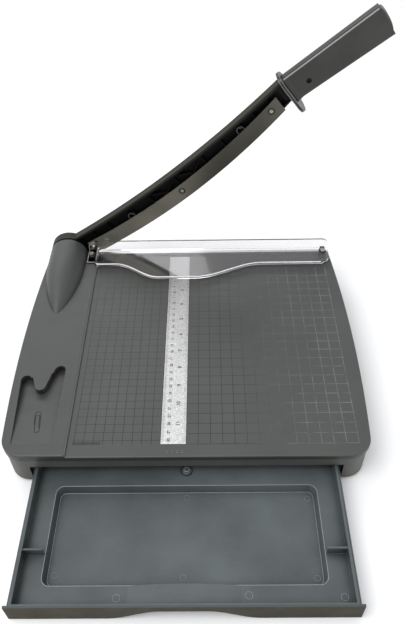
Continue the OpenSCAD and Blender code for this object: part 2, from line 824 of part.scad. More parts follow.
// Rounded pan that sinks below the drawer's ledge
module pan(z0, z1, grow) {
    hull() {
        level(z1 - 0.1, z1) translate([0, pan_front + pan_len / 2])
            round_rect(2 * pan_hw + 2 * grow, pan_len + 2 * grow, 8 + grow, $fn = 32);
        level(z0, z0 + 0.1) translate([0, pan_front + pan_len / 2])
            round_rect(2 * pan_hw - 6 + 2 * grow, pan_len - 6 + 2 * grow, 6 + grow, $fn = 32);
    }
}

// Low arch over the finger hold, seen from the front
module scoop_arch(grow) {
    intersection() {
        translate([0, ledge_z - 2 + scoop_rise - scoop_r]) circle(scoop_r + grow, $fn = 360);
        translate([-scoop_hw, ledge_z - 2 - 12]) square([2 * scoop_hw, 40]);
    }
}

module drawer_tray() color(drawer_grey) difference() {
    union() {
        // side, rear and front walls
        difference() {
            block([-tray_hw, tray_front, tray_low], [tray_hw, tray_rear, panel_z1]);
            block([-tray_hw + tray_wall, tray_front + 1.2, 0],
                [tray_hw - tray_wall, tray_rear - tray_wall, 40]);
        }
        block([-tray_hw + 1, tray_front + 1, ledge_z - 2], [tray_hw - 1, tray_rear - 1, ledge_z]);
        pan(pan_z - 1.6, ledge_z - 0.5, 2);
        upright(tray_front, pan_front - 0.5) scoop_arch(2);
        for (m = [0, 1]) mirror([m, 0, 0]) {
            block([tray_hw - 1, tray_front, 22.5], [tray_hw + 1.8, tray_rear, 26]);
            block([tray_hw - 1, front_y + 9.9, 8], [tray_hw + 4, front_y + 18, 16]);
            block([pan_hw + 1, tray_front + 50.9, ledge_z - 0.5], [tray_hw - 1, tray_front + 52.7, 26.5]);
        }
    }
    pan(pan_z, ledge_z + 1, 0);
    difference() {
        upright(tray_front - 1, pan_front - 2.5) scoop_arch(0);
        pan(pan_z - 1.6, ledge_z - 0.5, 2);
    }
    for (x = [-120, 120]) bar_y(x, 21, tray_front - 1, tray_front + 4, 2.6);
    translate([0, stud_y, 0]) cylinder(h = 20, r = 2.05);
}

stud_y = tray_front + 140;

module drawer_stop_stud() color(drawer_grey) translate([0, stud_y, 0]) {
    translate([0, 0, ledge_z - 4]) cylinder(h = 5, r = 2);
    translate([0, 0, ledge_z]) cylinder(h = 1.6, r = 5.2);
    translate([0, 0, ledge_z + 1.6]) cylinder(h = 1.8, r1 = 3.8, r2 = 3);
}

// Drawer front with an arched finger hold in its lower edge
module drawer_front() color(drawer_grey) {
    upright(tray_front - panel_t, tray_front) difference() {
        translate([-front_w / 2, panel_z0]) square([front_w, panel_z1 - panel_z0]);
        polygon(concat(
            [[arch_hw, panel_z0 - 1], [-arch_hw, panel_z0 - 1]],
            [for (x = [-arch_hw : 2 : arch_hw])
                [x, panel_z0 + 0.05 + arch_rise * (1 - blend(abs(x), arch_flat, arch_hw))]]
        ));
    }
    for (x = [-120, 120]) bar_y(x, 21, tray_front - 0.5, tray_front + 3, 2.5);
}

// ------------------------------------------------------------------ nodes

base_shell();
bottom_cover();
bottom_cover_screws();
table_top();
housing_screws();
rubber_feet();
counter_blade();
counter_blade_screws();
ruler_plate();
pivot_fairing();
pivot_bracket();
bracket_screws();
pivot_bolt();
pivot_spacer();
pivot_washer();
pivot_spring_washer();
pivot_nut();
pivot_cap();
finger_guard();
guard_post();
guard_screws();
runner_left();
runner_right();
runner_screws();
arm_body();
arm_cover();
arm_cover_screws();
arm_bush();
moving_blade();
blade_screws();
hand_guard();
grip_front();
grip_rear();
grip_end_cap();
grip_screws();
drawer_tray();
drawer_front();
drawer_stop_stud();
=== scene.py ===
"""Looks of the guillotine paper cutter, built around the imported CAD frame.
Everything is in the frame's own axes: X along the cut, -Y towards the user, Z up. Sizes are in millimetres
until MM turns them into metres."""

import math

import bmesh
import bpy
from mathutils import Matrix, Vector


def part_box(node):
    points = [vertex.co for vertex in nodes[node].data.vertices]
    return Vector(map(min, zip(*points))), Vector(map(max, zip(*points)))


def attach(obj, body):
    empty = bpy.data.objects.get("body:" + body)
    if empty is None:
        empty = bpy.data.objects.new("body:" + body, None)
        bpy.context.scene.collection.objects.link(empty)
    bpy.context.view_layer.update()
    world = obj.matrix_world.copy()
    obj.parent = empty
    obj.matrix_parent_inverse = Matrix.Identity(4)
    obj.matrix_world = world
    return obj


MM = 0.001
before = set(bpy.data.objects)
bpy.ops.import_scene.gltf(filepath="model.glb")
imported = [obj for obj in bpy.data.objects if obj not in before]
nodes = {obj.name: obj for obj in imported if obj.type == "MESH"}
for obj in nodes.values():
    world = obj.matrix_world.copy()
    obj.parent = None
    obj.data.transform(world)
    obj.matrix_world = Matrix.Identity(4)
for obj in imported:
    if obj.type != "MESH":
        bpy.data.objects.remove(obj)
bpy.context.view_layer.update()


# ------------------------------------------------------------ places read from the frame


def box_mm(node):
    """Lowest and highest corner of a CAD node in millimetres."""
    low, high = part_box(node)
    return low / MM, high / MM


table_low, table_high = box_mm("table_top")
edge_low, edge_high = box_mm("counter_blade")
ruler_low, ruler_high = box_mm("ruler_plate")
tray_low = box_mm("drawer_tray")[0]
stud_low, stud_high = box_mm("drawer_stop_stud")
bolt_low, bolt_high = box_mm("pivot_bolt")

PIVOT = (bolt_low + bolt_high) / 2
ARM_ANGLE = 38.5  # how far the arm is raised in the resting pose
CUT_Y = edge_high.y  # the cutting edge, where both scales start
FRONT_Y = table_low.y
SURFACE_Z = edge_high.z
STRIP_Z = table_high.z
FENCE_X = edge_low.x - 1


# ------------------------------------------------------------ materials


class Shader:
    """A material with one Principled shader and short ways to add nodes to it."""

    def __init__(self, name, slot=None):
        self.material = bpy.data.materials.new(name)
        self.material.use_nodes = True
        self.tree = self.material.node_tree
        self.bsdf = self.tree.nodes["Principled BSDF"]
        self.coords = self.tree.nodes.new("ShaderNodeTexCoord").outputs["Object"]
        self.slot = slot

    def add(self, kind, **settings):
        node = self.tree.nodes.new(kind)
        for key, value in settings.items():
            setattr(node, key, value)
        return node

    def link(self, output, target):
        self.tree.links.new(output, target)

    def constant(self, **values):
        for key, value in values.items():
            self.bsdf.inputs[key.replace("_", " ")].default_value = value

    def stretched(self, scale):
        """Object coordinates scaled along each axis, for grain that runs one way."""
        mapping = self.add("ShaderNodeMapping")
        mapping.inputs["Scale"].default_value = scale
        self.link(self.coords, mapping.inputs["Vector"])
        return mapping.outputs["Vector"]

    def noise(self, scale, detail=3.0, vector=None, roughness=0.55):
        node = self.add("ShaderNodeTexNoise")
        node.inputs["Scale"].default_value = scale
        node.inputs["Detail"].default_value = detail
        node.inputs["Roughness"].default_value = roughness
        self.link(vector or self.coords, node.inputs["Vector"])
        return node.outputs["Fac"]

    def ramp(self, value, *stops):
        """stops are (position, colour)."""
        node = self.add("ShaderNodeValToRGB")
        points = node.color_ramp.elements
        while len(points) < len(stops):
            points.new(0.5)
        for point, (position, colour) in zip(points, stops):
            point.position = position
            point.color = (*colour, 1)
        self.link(value, node.inputs["Fac"])
        return node.outputs["Color"]

    def spread(self, value, low, high, start=0.3, end=0.7):
        """value from start to end becomes low to high."""
        node = self.add("ShaderNodeMapRange", clamp=True)
        for key, number in (("From Min", start), ("From Max", end), ("To Min", low), ("To Max", high)):
            node.inputs[key].default_value = number
        self.link(value, node.inputs["Value"])
        return node.outputs["Result"]

    def maths(self, operation, a, b):
        node = self.add("ShaderNodeMath", operation=operation)
        for socket, value in zip(node.inputs, (a, b)):
            if isinstance(value, (int, float)):
                socket.default_value = value
            else:
                self.link(value, socket)
        return node.outputs["Value"]

    def mixed(self, factor, a, b):
        """Colour a where factor is 0 and colour b where it is 1."""
        node = self.add("ShaderNodeMix", data_type="RGBA")
        for socket, value in ((node.inputs[0], factor), (node.inputs[6], a), (node.inputs[7], b)):
            if isinstance(value, tuple):
                socket.default_value = (*value, 1)
            else:
                self.link(value, socket)
        return node.outputs[2]

    def soft_edges(self, radius):
        """Normals rounded over sharp edges, and a mask that is 1 on those edges."""
        bevel = self.add("ShaderNodeBevel", samples=4)
        bevel.inputs["Radius"].default_value = radius
        plain = self.add("ShaderNodeNewGeometry").outputs["Normal"]
        dot = self.add("ShaderNodeVectorMath", operation="DOT_PRODUCT")
        self.link(bevel.outputs["Normal"], dot.inputs[0])
        self.link(plain, dot.inputs[1])
        mask = self.spread(dot.outputs["Value"], 1.0, 0.0, 0.72, 0.97)
        return bevel.outputs["Normal"], mask

    def crevice(self, reach, dark=0.3):
        """Painted shade: 1 on open surfaces, down to dark where walls and corners are close."""
        node = self.add("ShaderNodeAmbientOcclusion", samples=6)
        node.inputs["Distance"].default_value = reach
        return self.spread(node.outputs["AO"], dark, 1.0, 0.25, 0.85)

    def dimmed(self, colour, factor):
        """A colour multiplied by a factor that varies over the surface."""
        return self.mixed(factor, (0.0, 0.0, 0.0), colour)

    def bumps(self, normal, *layers):
        """layers are (height, strength, distance)."""
        for height, strength, distance in layers:
            node = self.add("ShaderNodeBump")
            node.inputs["Strength"].default_value = strength
            node.inputs["Distance"].default_value = distance
            self.link(height, node.inputs["Height"])
            if normal is not None:
                self.link(normal, node.inputs["Normal"])
            normal = node.outputs["Normal"]
        self.link(normal, self.bsdf.inputs["Normal"])

    def base(self, colour):
        self.tone = colour
        self.link(colour, self.bsdf.inputs["Base Color"])

    def facing(self, axis):
        """How far the surface faces along one axis, from -1 to 1."""
        split = self.add("ShaderNodeSeparateXYZ")
        self.link(self.add("ShaderNodeNewGeometry").outputs["Normal"], split.inputs["Vector"])
        return split.outputs[axis]

    def place(self, axis):
        """Object coordinate along one axis, in metres."""
        split = self.add("ShaderNodeSeparateXYZ")
        self.link(self.coords, split.inputs["Vector"])
        return split.outputs[axis]

    def roughness(self, value):
        self.link(value, self.bsdf.inputs["Roughness"])


def shade(colour, factor):
    return tuple(channel * factor for channel in colour)


def moulded(name, slot, colour, rough, grain=1500, grain_depth=0.00003, edge=0.0005, edge_wear_and_highlight=1.5, cloud=0.16,
            cloud_size=9, crevice_shade=0.4, crevice_shade_reach=0.006):
    """Moulded plastic: sparked grain, faint flow clouds, painted shade where walls and corners are close,
    edges lighter where worn and from a painted highlight, and a few scuffs.
    """
    s = Shader(name, slot)
    normal, on_edge = s.soft_edges(edge)
    clouds = s.noise(cloud_size, 4)
    speckle = s.noise(grain, 2)
    body = s.ramp(clouds, (0.3, shade(colour, 1 - cloud)), (0.7, shade(colour, 1 + cloud)))
    body = s.mixed(s.spread(speckle, 0.0, 0.22), body, shade(colour, 1.5))
    # painted shade: the colour darkens where walls and corners are close
    body = s.dimmed(body, s.crevice(crevice_shade_reach, crevice_shade))
    # lighter edges: partly worn plastic, partly a painted edge highlight
    painted_highlight_mask = s.maths("MULTIPLY", on_edge, s.spread(s.noise(70, 3), 0.3, 0.9))
    s.base(s.mixed(painted_highlight_mask, body, shade(colour, 1 + edge_wear_and_highlight)))
    scuffs = s.noise(40, 6, s.stretched((1.0, 6.0, 1.0)), 0.7)
    s.roughness(s.spread(scuffs, rough - 0.06, rough + 0.09))
    s.bumps(normal, (speckle, 0.35, grain_depth), (clouds, 0.1, 0.0004))
    return s


def brushed(name, slot, colour, rough, direction, edge_wear_and_highlight=0.3):
    """Ground steel: fine lines along one direction, oil clouds, and bright edges that are partly worn and
    partly a painted highlight.
    """
    s = Shader(name, slot)
    s.constant(Metallic=1.0)
    normal, on_edge = s.soft_edges(0.0003)
    lines = s.noise(900, 3, s.stretched(direction))
    clouds = s.noise(22, 4)
    tone = s.ramp(clouds, (0.3, shade(colour, 0.86)), (0.7, shade(colour, 1.1)))
    tone = s.mixed(s.spread(lines, 0.0, 0.35), tone, shade(colour, 0.7))
    # bright edges: partly worn steel, partly a painted edge highlight
    s.base(s.mixed(on_edge, tone, shade(colour, 1 + edge_wear_and_highlight)))
    streaks = s.maths("ADD", lines, s.maths("MULTIPLY", clouds, 0.5))
    s.roughness(s.spread(streaks, rough - 0.07, rough + 0.1, 0.5, 1.0))
    s.bumps(normal, (lines, 0.16, 0.00002))
    return s


def plated(name, slot, colour, rough):
    """Zinc-plated steel: soft mottling and a little grime."""
    s = Shader(name, slot)
    s.constant(Metallic=1.0)
    normal, on_edge = s.soft_edges(0.0002)
    mottle = s.noise(260, 4)
    tone = s.ramp(mottle, (0.35, shade(colour, 0.75)), (0.65, shade(colour, 1.05)))
    # edges a little lighter: a painted edge highlight
    s.base(s.mixed(on_edge, tone, shade(colour, 1.2)))
    s.roughness(s.spread(mottle, rough - 0.06, rough + 0.1))
    s.bumps(normal, (mottle, 0.12, 0.00002))
    return s


def clear_styrene():
    """Clear guard plastic with a faint violet tint and hairline scratches."""
    s = Shader("clear_styrene", "clear_plastic")
    s.constant(Base_Color=(0.972, 0.958, 0.97, 1), IOR=1.5, Transmission_Weight=1.0)
    hairlines = s.noise(500, 4, s.stretched((1.0, 14.0, 1.0)))
    s.roughness(s.spread(hairlines, 0.02, 0.09))
    s.bumps(None, (s.noise(60, 2), 0.05, 0.0002))
    return s


def ruler_sheet():
    """Satin ruler sheet, bright and finely brushed across."""
    s = Shader("ruler_sheet", "ruler_aluminium")
    s.constant(Metallic=0.75)
    normal, on_edge = s.soft_edges(0.0002)
    lines = s.noise(1600, 3, s.stretched((1.0, 0.12, 1.0)))
    clouds = s.noise(30, 4)
    tone = s.ramp(clouds, (0.3, (0.7, 0.7, 0.69)), (0.7, (0.86, 0.86, 0.85)))
    tone = s.mixed(s.spread(lines, 0.0, 0.5), tone, (0.3, 0.3, 0.29))
    tone = s.mixed(s.spread(s.noise(700, 2), 0.0, 0.45, 0.45, 0.62), tone, (0.3, 0.3, 0.29))
    tone = s.dimmed(tone, s.spread(s.place("Y"), 1.0, 0.74, -0.14, 0.1))
    # edges near white: a painted edge highlight
    s.base(s.mixed(on_edge, tone, (0.9, 0.9, 0.9)))
    s.roughness(s.spread(lines, 0.36, 0.52))
    s.bumps(normal, (lines, 0.2, 0.00002))
    return s


def printed_ink():
    """Black printing ink, thin in places."""
    s = Shader("printed_ink", "black_plastic")
    thin = s.noise(900, 3)
    s.base(s.ramp(thin, (0.3, (0.012, 0.012, 0.013)), (0.72, (0.05, 0.05, 0.05))))
    s.roughness(s.spread(thin, 0.4, 0.6))
    s.bumps(None, (thin, 0.1, 0.00001))
    return s


def grid_line():
    """Moulded grid lines: dark, fading towards the rear, with a painted glint that lightens them in patches
    on the right.
    """
    s = Shader("grid_line", "table_plastic")
    patches = s.noise(75, 4)
    across = s.spread(s.place("X"), 0.0, 1.0, 0.05, 0.16)
    # painted glint: lines lighter in patches on the right-hand side
    painted_highlight_mask = s.maths("MULTIPLY", across, s.spread(patches, 0.35, 1.0, 0.38, 0.66))
    towards_rear = s.spread(s.place("Y"), 0.0, 1.0, -0.1, 0.12)
    faded = s.mixed(towards_rear, (0.009, 0.010, 0.009), (0.026, 0.028, 0.026))
    s.base(s.mixed(painted_highlight_mask, faded, (0.19, 0.195, 0.19)))
    s.roughness(s.spread(patches, 0.35, 0.5))
    s.bumps(None, (s.noise(1500, 2), 0.2, 0.00002))
    return s


def panel_abs():
    """Drawer front: drawer grey on its upper edge, warmer and darker on its face; the warm tone is its tint,
    the darker face a painted shade.
    """
    s = moulded("panel_abs", "drawer_plastic", (0.029, 0.0247, 0.0135), 0.5, cloud=0.25, cloud_size=30)
    s.constant(Specular_IOR_Level=0.12)
    # painted shade: faces that do not look up take the darker warm tone
    s.base(s.mixed(s.spread(s.facing("Z"), 0.0, 1.0, 0.3, 0.8), s.tone, BLUE_GREY))
    return s


def table_abs():
    """Table: painted shade keeps the narrow front face and the left strip darker than the middle."""
    s = moulded("table_abs", "table_plastic", GREY, 0.46, edge_wear_and_highlight=2.0, crevice_shade=0.16, crevice_shade_reach=0.009)
    # painted shade: faces turned to the user darker, then the left strip darker
    front_painted_shade = s.dimmed(s.tone, s.spread(s.facing("Y"), 0.4, 1.0, -0.98, -0.75))
    s.base(s.dimmed(front_painted_shade, s.spread(s.place("X"), 0.82, 1.0, -0.18, -0.08)))
    return s


def grip_abs():
    """Grip: mottled by hands, with a painted shade that makes its top darkest."""
    colour = (0.0205, 0.0195, 0.017)
    s = moulded("grip_abs", "grip_plastic", colour, 0.42, edge_wear_and_highlight=3.0, cloud=0.34, cloud_size=35)
    # painted shade: faces that look up darker
    s.base(s.dimmed(s.tone, s.spread(s.facing("Z"), 1.0, 0.4, 0.3, 0.7)))
    return s


def blade_steel():
    """Blade: ground along its length, with a painted reflection that darkens it away from the pivot."""
    s = brushed("blade_steel", "blade_steel", (0.62, 0.585, 0.49), 0.34, (0.08, 1.0, 1.0))
    # painted reflection: the colour darkens away from the pivot
    s.base(s.dimmed(s.tone, s.spread(s.place("X"), 0.78, 0.24, -0.05, 0.04)))
    return s


def frosted_edge():
    """Painted highlight along the clear guard's edges: a whitish strip that lets a little light through."""
    s = Shader("frosted_edge", "clear_plastic")
    s.constant(Transmission_Weight=0.1, IOR=1.49)
    haze = s.noise(300, 3)
    s.base(s.ramp(haze, (0.3, (0.8, 0.78, 0.82)), (0.7, (0.93, 0.92, 0.94))))
    s.roughness(s.spread(haze, 0.2, 0.4))
    s.bumps(None, (haze, 0.1, 0.00002))
    return s


GREY = (0.047, 0.0498, 0.0462)
BLUE_GREY = (0.069, 0.082, 0.084)
TABLE = table_abs()
HOUSING = moulded("housing_abs", "housing_plastic", (0.058, 0.057, 0.050), 0.5, crevice_shade=0.3, crevice_shade_reach=0.012)
# its strong, small clouds are partly a painted reflection of soft light in the pan
DRAWER = moulded("drawer_abs", "drawer_plastic", BLUE_GREY, 0.33, grain=900, grain_depth=0.00001, edge=0.0006,
                 edge_wear_and_highlight=3.0, cloud=0.28, cloud_size=14, crevice_shade=0.2, crevice_shade_reach=0.014)
# painted shade: the drawer darkens towards the left
DRAWER.base(DRAWER.dimmed(DRAWER.tone, DRAWER.spread(DRAWER.place("X"), 0.74, 1.06, -0.16, 0.08)))
PANEL = panel_abs()
# painted highlight: a lit copy of the drawer grey, for bright lines, rings and glints
DRAWER_HIGHLIGHT = moulded("drawer_highlight", "drawer_plastic", shade(BLUE_GREY, 3.2), 0.25, grain=900, grain_depth=0.00001,
               crevice_shade=0.8)
ARM = moulded("arm_nylon", "arm_plastic", (0.0175, 0.0165, 0.0105), 0.55)
ARM.constant(Specular_IOR_Level=0.25)
GRIP = grip_abs()
# painted highlight: a light grey for the bright line along the grip
GRIP_HIGHLIGHT = moulded("grip_highlight", "grip_plastic", (0.24, 0.24, 0.225), 0.3, crevice_shade=0.8)
CAP = moulded("cap_abs", "cap_plastic", (0.06, 0.062, 0.05), 0.42)
BLACK = moulded("black_abs", "black_plastic", (0.0028, 0.0028, 0.0028), 0.5, edge=0.0002, edge_wear_and_highlight=5.0, crevice_shade=0.1)
BLACK.constant(Specular_IOR_Level=0.18)
BOSS = moulded("boss_abs", "black_plastic", (0.045, 0.042, 0.042), 0.4)
COLLAR = moulded("collar_abs", "black_plastic", (0.010, 0.0105, 0.010), 0.3)
# painted highlight: a light grey for the bright lines along the collar's edges
COLLAR_HIGHLIGHT = moulded("collar_highlight", "black_plastic", (0.17, 0.175, 0.17), 0.2, crevice_shade=0.8)
# painted shade: a near-black for grooves, gaps and rings that fall into shade
GROOVE_SHADE = moulded("groove_shade", "table_plastic", (0.005, 0.006, 0.005), 0.6)
# painted light: a lit copy of the table grey
TABLE_PAINTED_LIGHT = moulded("table_painted_light", "table_plastic", shade(GREY, 3.0), 0.44)
RUBBER = moulded("rubber_foot", "rubber", (0.02, 0.02, 0.02), 0.75, grain=700)
BLADE = blade_steel()
EDGE = brushed("edge_steel", "blade_steel", (0.55, 0.55, 0.54), 0.3, (0.08, 1.0, 1.0))
PLATED = plated("zinc_plate", "plated_steel", (0.55, 0.54, 0.5), 0.32)
BRIGHT = plated("bright_screw", "plated_steel", (0.55, 0.54, 0.48), 0.3)
BLACKENED = plated("black_oxide", "plated_steel", (0.03, 0.03, 0.03), 0.4)
BRONZE = plated("sintered_bronze", "bronze", (0.55, 0.36, 0.16), 0.45)
CLEAR = clear_styrene()
# painted highlight for the guard's lip, edges and studs
EDGE_HIGHLIGHT = frosted_edge()
RULER = ruler_sheet()
INK = printed_ink()
LINE = grid_line()

NODE_FINISH = {
    TABLE: ["table_top", "pivot_fairing"],
    HOUSING: ["base_shell"],
    DRAWER: ["drawer_tray", "drawer_stop_stud"],
    PANEL: ["drawer_front"],
    ARM: ["arm_cover"],
    GRIP: ["grip_front", "grip_rear"],
    CAP: ["grip_end_cap"],
    BLACK: ["arm_body", "bottom_cover", "pivot_cap", "guard_post", "runner_left", "runner_right"],
    COLLAR: ["hand_guard"],
    RUBBER: ["rubber_feet"],
    BLADE: ["moving_blade"],
    EDGE: ["counter_blade"],
    PLATED: [
        "bottom_cover_screws", "housing_screws", "counter_blade_screws", "pivot_bracket", "bracket_screws",
        "pivot_bolt", "pivot_spacer", "pivot_washer", "pivot_spring_washer", "pivot_nut", "guard_screws",
        "runner_screws", "arm_cover_screws",
    ],
    BRIGHT: ["blade_screws"],
    BLACKENED: ["grip_screws"],
    BRONZE: ["arm_bush"],
    CLEAR: ["finger_guard"],
    RULER: ["ruler_plate"],
}
for finish, names in NODE_FINISH.items():
    for name in names:
        nodes[name].data.materials.clear()
        nodes[name].data.materials.append(finish.material)


# ------------------------------------------------------------ mesh helpers


def piece(name, mesh, body, finish):
    """A new part of the object that rides on a CAD body."""
    mesh.materials.append(finish.material)
    made = bpy.data.objects.new(name, mesh)
    bpy.context.scene.collection.objects.link(made)
    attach(made, body)
    return made


def mesh_of(name, verts, faces):
    """A mesh from points in millimetres."""
    mesh = bpy.data.meshes.new(name)
    mesh.from_pydata([Vector(v) * MM for v in verts], [], faces)
    bm = bmesh.new()
    bm.from_mesh(mesh)
    bmesh.ops.recalc_face_normals(bm, faces=bm.faces)
    bm.to_mesh(mesh)
    bm.free()
    return mesh


def ridges(name, lines, z, width, height, sink=0.05):
    """Low ridges with sloping flanks along straight lines (x0, y0, x1, y1), as one mesh."""
    verts, faces = [], []
    for x0, y0, x1, y1 in lines:
        along = Vector((x1 - x0, y1 - y0)).normalized()
        side = Vector((-along.y, along.x))
        start = len(verts)
        for half, level, pull in ((width / 2, z - sink, 0.0), (width / 4, z + height, height)):
            for sx, sy, push in ((x0, y0, pull), (x1, y1, -pull)):
                for sign in (1, -1):
                    verts.append((
                        sx + along.x * push + side.x * half * sign,
                        sy + along.y * push + side.y * half * sign,
                        level,
                    ))
        quads = [(0, 1, 3, 2), (4, 6, 7, 5), (0, 2, 6, 4), (1, 5, 7, 3), (0, 4, 5, 1), (2, 3, 7, 6)]
        faces += [tuple(start + i for i in quad) for quad in quads]
    return mesh_of(name, verts, faces)


def tube(name, points, radius, closed=False, sides=8):
    """A round wire through points in millimetres."""
    curve = bpy.data.curves.new(name, "CURVE")
    curve.dimensions = "3D"
    curve.bevel_depth = radius * MM
    curve.bevel_resolution = sides // 4
    curve.use_fill_caps = True
    spline = curve.splines.new("POLY")
    spline.points.add(len(points) - 1)
    for target, point in zip(spline.points, points):
        target.co = (*(Vector(point) * MM), 1)
    spline.use_cyclic_u = closed
    holder = bpy.data.objects.new(name, curve)
    bpy.context.scene.collection.objects.link(holder)
    mesh = bpy.data.meshes.new_from_object(holder)
    bpy.data.objects.remove(holder)
    return mesh


def arc(cx, cy, r, start, end, steps):
    """Points of an arc in the XY plane, angles in degrees."""
    turns = [math.radians(start + (end - start) * i / steps) for i in range(steps + 1)]
    return [(cx + r * math.cos(t), cy + r * math.sin(t)) for t in turns]


def digits(name, marks, size, z, depth=0.02):
    """Numbers (text, x, y) that read towards the rear, as one mesh."""
    made = []
    for text, x, y in marks:
        curve = bpy.data.curves.new(name, "FONT")
        curve.body = text
        curve.size = size * MM
        curve.extrude = depth * MM / 2
        curve.offset = 0.13 * MM
        curve.align_x = "CENTER"
        curve.align_y = "CENTER"
        holder = bpy.data.objects.new(name, curve)
        bpy.context.scene.collection.objects.link(holder)
        mesh = bpy.data.meshes.new_from_object(holder)
        place = Matrix.Translation(Vector((x, y, z)) * MM) @ Matrix.Rotation(math.radians(90), 4, "Z")
        mesh.transform(place)
        made.append(mesh)
        bpy.data.objects.remove(holder)
    return joined(name, made)


def joined(name, meshes):
    """Several meshes made into one."""
    bm = bmesh.new()
    for mesh in meshes:
        bm.from_mesh(mesh)
        bpy.data.meshes.remove(mesh)
    whole = bpy.data.meshes.new(name)
    bm.to_mesh(whole)
    bm.free()
    return whole


def loops(name, spots, radius, wire):
    """Flat wire rings around points (x, y, z)."""
    made = []
    for x, y, z in spots:
        points = [(px, py, z) for px, py in arc(x, y, radius, 0, 337.5, 15)]
        made.append(tube(name, points, wire, closed=True))
    return joined(name, made)


def rounded_loop(half_x, half_y, r, cx, cy):
    """Outline of a rounded rectangle, as points (x, y)."""
    points = []
    for i, (sx, sy) in enumerate(((1, 1), (-1, 1), (-1, -1), (1, -1))):
        points += arc(cx + sx * (half_x - r), cy + sy * (half_y - r), r, 90 * i, 90 * i + 90, 6)
    return points


def on_arm(x, y, z):
    """Where a point of the arm lies in the resting pose, x along the lowered arm and z up from the pivot."""
    turn = math.radians(ARM_ANGLE)
    return (
        PIVOT.x + x * math.cos(turn) - z * math.sin(turn),
        y,
        PIVOT.z + x * math.sin(turn) + z * math.cos(turn),
    )


def discs(name, spots, inner, outer, front, back):
    """Flat rings that face the user, around points (x, z) of the arm's frame."""
    verts, faces = [], []
    steps = 28
    for x, z in spots:
        start = len(verts)
        for i in range(steps):
            t = 2 * math.pi * i / steps
            for r, y in ((inner, front), (outer, front), (outer, back), (inner, back)):
                verts.append(on_arm(x + r * math.cos(t), y, z + r * math.sin(t)))
        for i in range(steps):
            a, b = start + 4 * i, start + 4 * ((i + 1) % steps)
            faces += [(a + k, a + (k + 1) % 4, b + (k + 1) % 4, b + k) for k in range(4)]
    return mesh_of(name, verts, faces)


# ------------------------------------------------------------ grid on the work table

CM = 10.0
HALF_INCH = 12.7
LINE_W = 0.8
LINE_H = 0.06
LINE_OVERHANG = 1.5  # how far the rows run past the columns
GRID_REAR = CUT_Y - 36  # just in front of the guard

left_x0 = FENCE_X + 5.1
left_x1 = ruler_low.x - LINE_OVERHANG
left_columns = [ruler_low.x - 9.7 - CM * i for i in range(9)]
left_rows = [CUT_Y - CM * i for i in range(4, 31)]
right_x0 = ruler_high.x + LINE_OVERHANG
right_columns = [ruler_high.x + HALF_INCH + HALF_INCH * i for i in range(14)]
right_x1 = right_columns[-1] + LINE_OVERHANG
right_rows = [CUT_Y - HALF_INCH * i for i in range(4, 25)]
grid_front = CUT_Y - 305

left_lines = [(x, GRID_REAR, x, grid_front) for x in left_columns]
left_lines += [(left_x0, y, left_x1, y) for y in left_rows]
left_lines += [(left_x0 + i, grid_front, left_x0 + i, grid_front + 3.5) for i in range(1, 30)]
right_lines = [(x, GRID_REAR, x, grid_front) for x in right_columns]
right_lines += [(right_x0, y, right_x1, y) for y in right_rows]
piece("grid_metric", ridges("grid_metric", left_lines, SURFACE_Z, LINE_W, LINE_H), "base", LINE)
piece("grid_inch", ridges("grid_inch", right_lines, SURFACE_Z, LINE_W, LINE_H), "base", LINE)


# ------------------------------------------------------------ ruler scales

TICK_W = 0.3
TICK_INSET = 0.5
INCH = 25.4
SIXTEENTH = INCH / 16
ink_z = ruler_high.z
centimetres = []
for i in range(15, int(CUT_Y - ruler_low.y)):
    y = CUT_Y - i
    length = 5.0 if i % 10 == 0 else 3.6 if i % 5 == 0 else 2.4
    centimetres.append((ruler_low.x + TICK_INSET, y, ruler_low.x + TICK_INSET + length, y))
inches = []
for i in range(9, int((CUT_Y - ruler_low.y) / SIXTEENTH)):
    y = CUT_Y - i * SIXTEENTH
    length = 5.4 if i % 16 == 0 else 4.2 if i % 8 == 0 else 3.2 if i % 4 == 0 else 2.2
    inches.append((ruler_high.x - TICK_INSET - length, y, ruler_high.x - TICK_INSET, y))
piece("ruler_ticks", ridges("ruler_ticks", centimetres + inches, ink_z, TICK_W, 0.015, 0.01), "base", INK)
cm_marks = [(str(i), ruler_low.x + 8.0, CUT_Y - CM * i) for i in range(2, 31)]
inch_marks = [(str(i), ruler_high.x - 8.6, CUT_Y - INCH * i) for i in range(1, 12)]
piece("ruler_centimetres", digits("ruler_centimetres", cm_marks, 4.4, ink_z + 0.01), "base", INK)
piece("ruler_inches", digits("ruler_inches", inch_marks, 6.0, ink_z + 0.01), "base", INK)


# ------------------------------------------------------------ lines and marks on the table

# near-black strips along the ruler's edges: painted shade in the gap
gap_x = 0.3
gap_lines = [
    (ruler_low.x - gap_x, ruler_low.y, ruler_low.x - gap_x, ruler_high.y),
    (ruler_high.x + gap_x, ruler_low.y, ruler_high.x + gap_x, ruler_high.y),
    (ruler_low.x, ruler_low.y - gap_x, ruler_high.x, ruler_low.y - gap_x),
]
piece("ruler_gap", ridges("ruler_gap", gap_lines, SURFACE_Z, 0.7, 0.03), "base", GROOVE_SHADE)

SLOPE_RUN = 1.8  # the fence step leans this far
slope_top = FENCE_X - SLOPE_RUN
fence_front, fence_rear = FRONT_Y + 2, CUT_Y - 27
fence_foot = [(FENCE_X + 0.4, fence_front, FENCE_X + 0.4, fence_rear)]
fence_top = [(slope_top - 0.4, fence_front, slope_top - 0.4, fence_rear)]
# near-black lines at the foot and the top of the fence step: painted shade
piece("fence_foot_line", ridges("fence_foot_line", fence_foot, SURFACE_Z, 1.1, 0.03), "base", GROOVE_SHADE)
piece("fence_top_line", ridges("fence_top_line", fence_top, STRIP_Z - 0.01, 0.7, 0.0, 0.04), "base", GROOVE_SHADE)
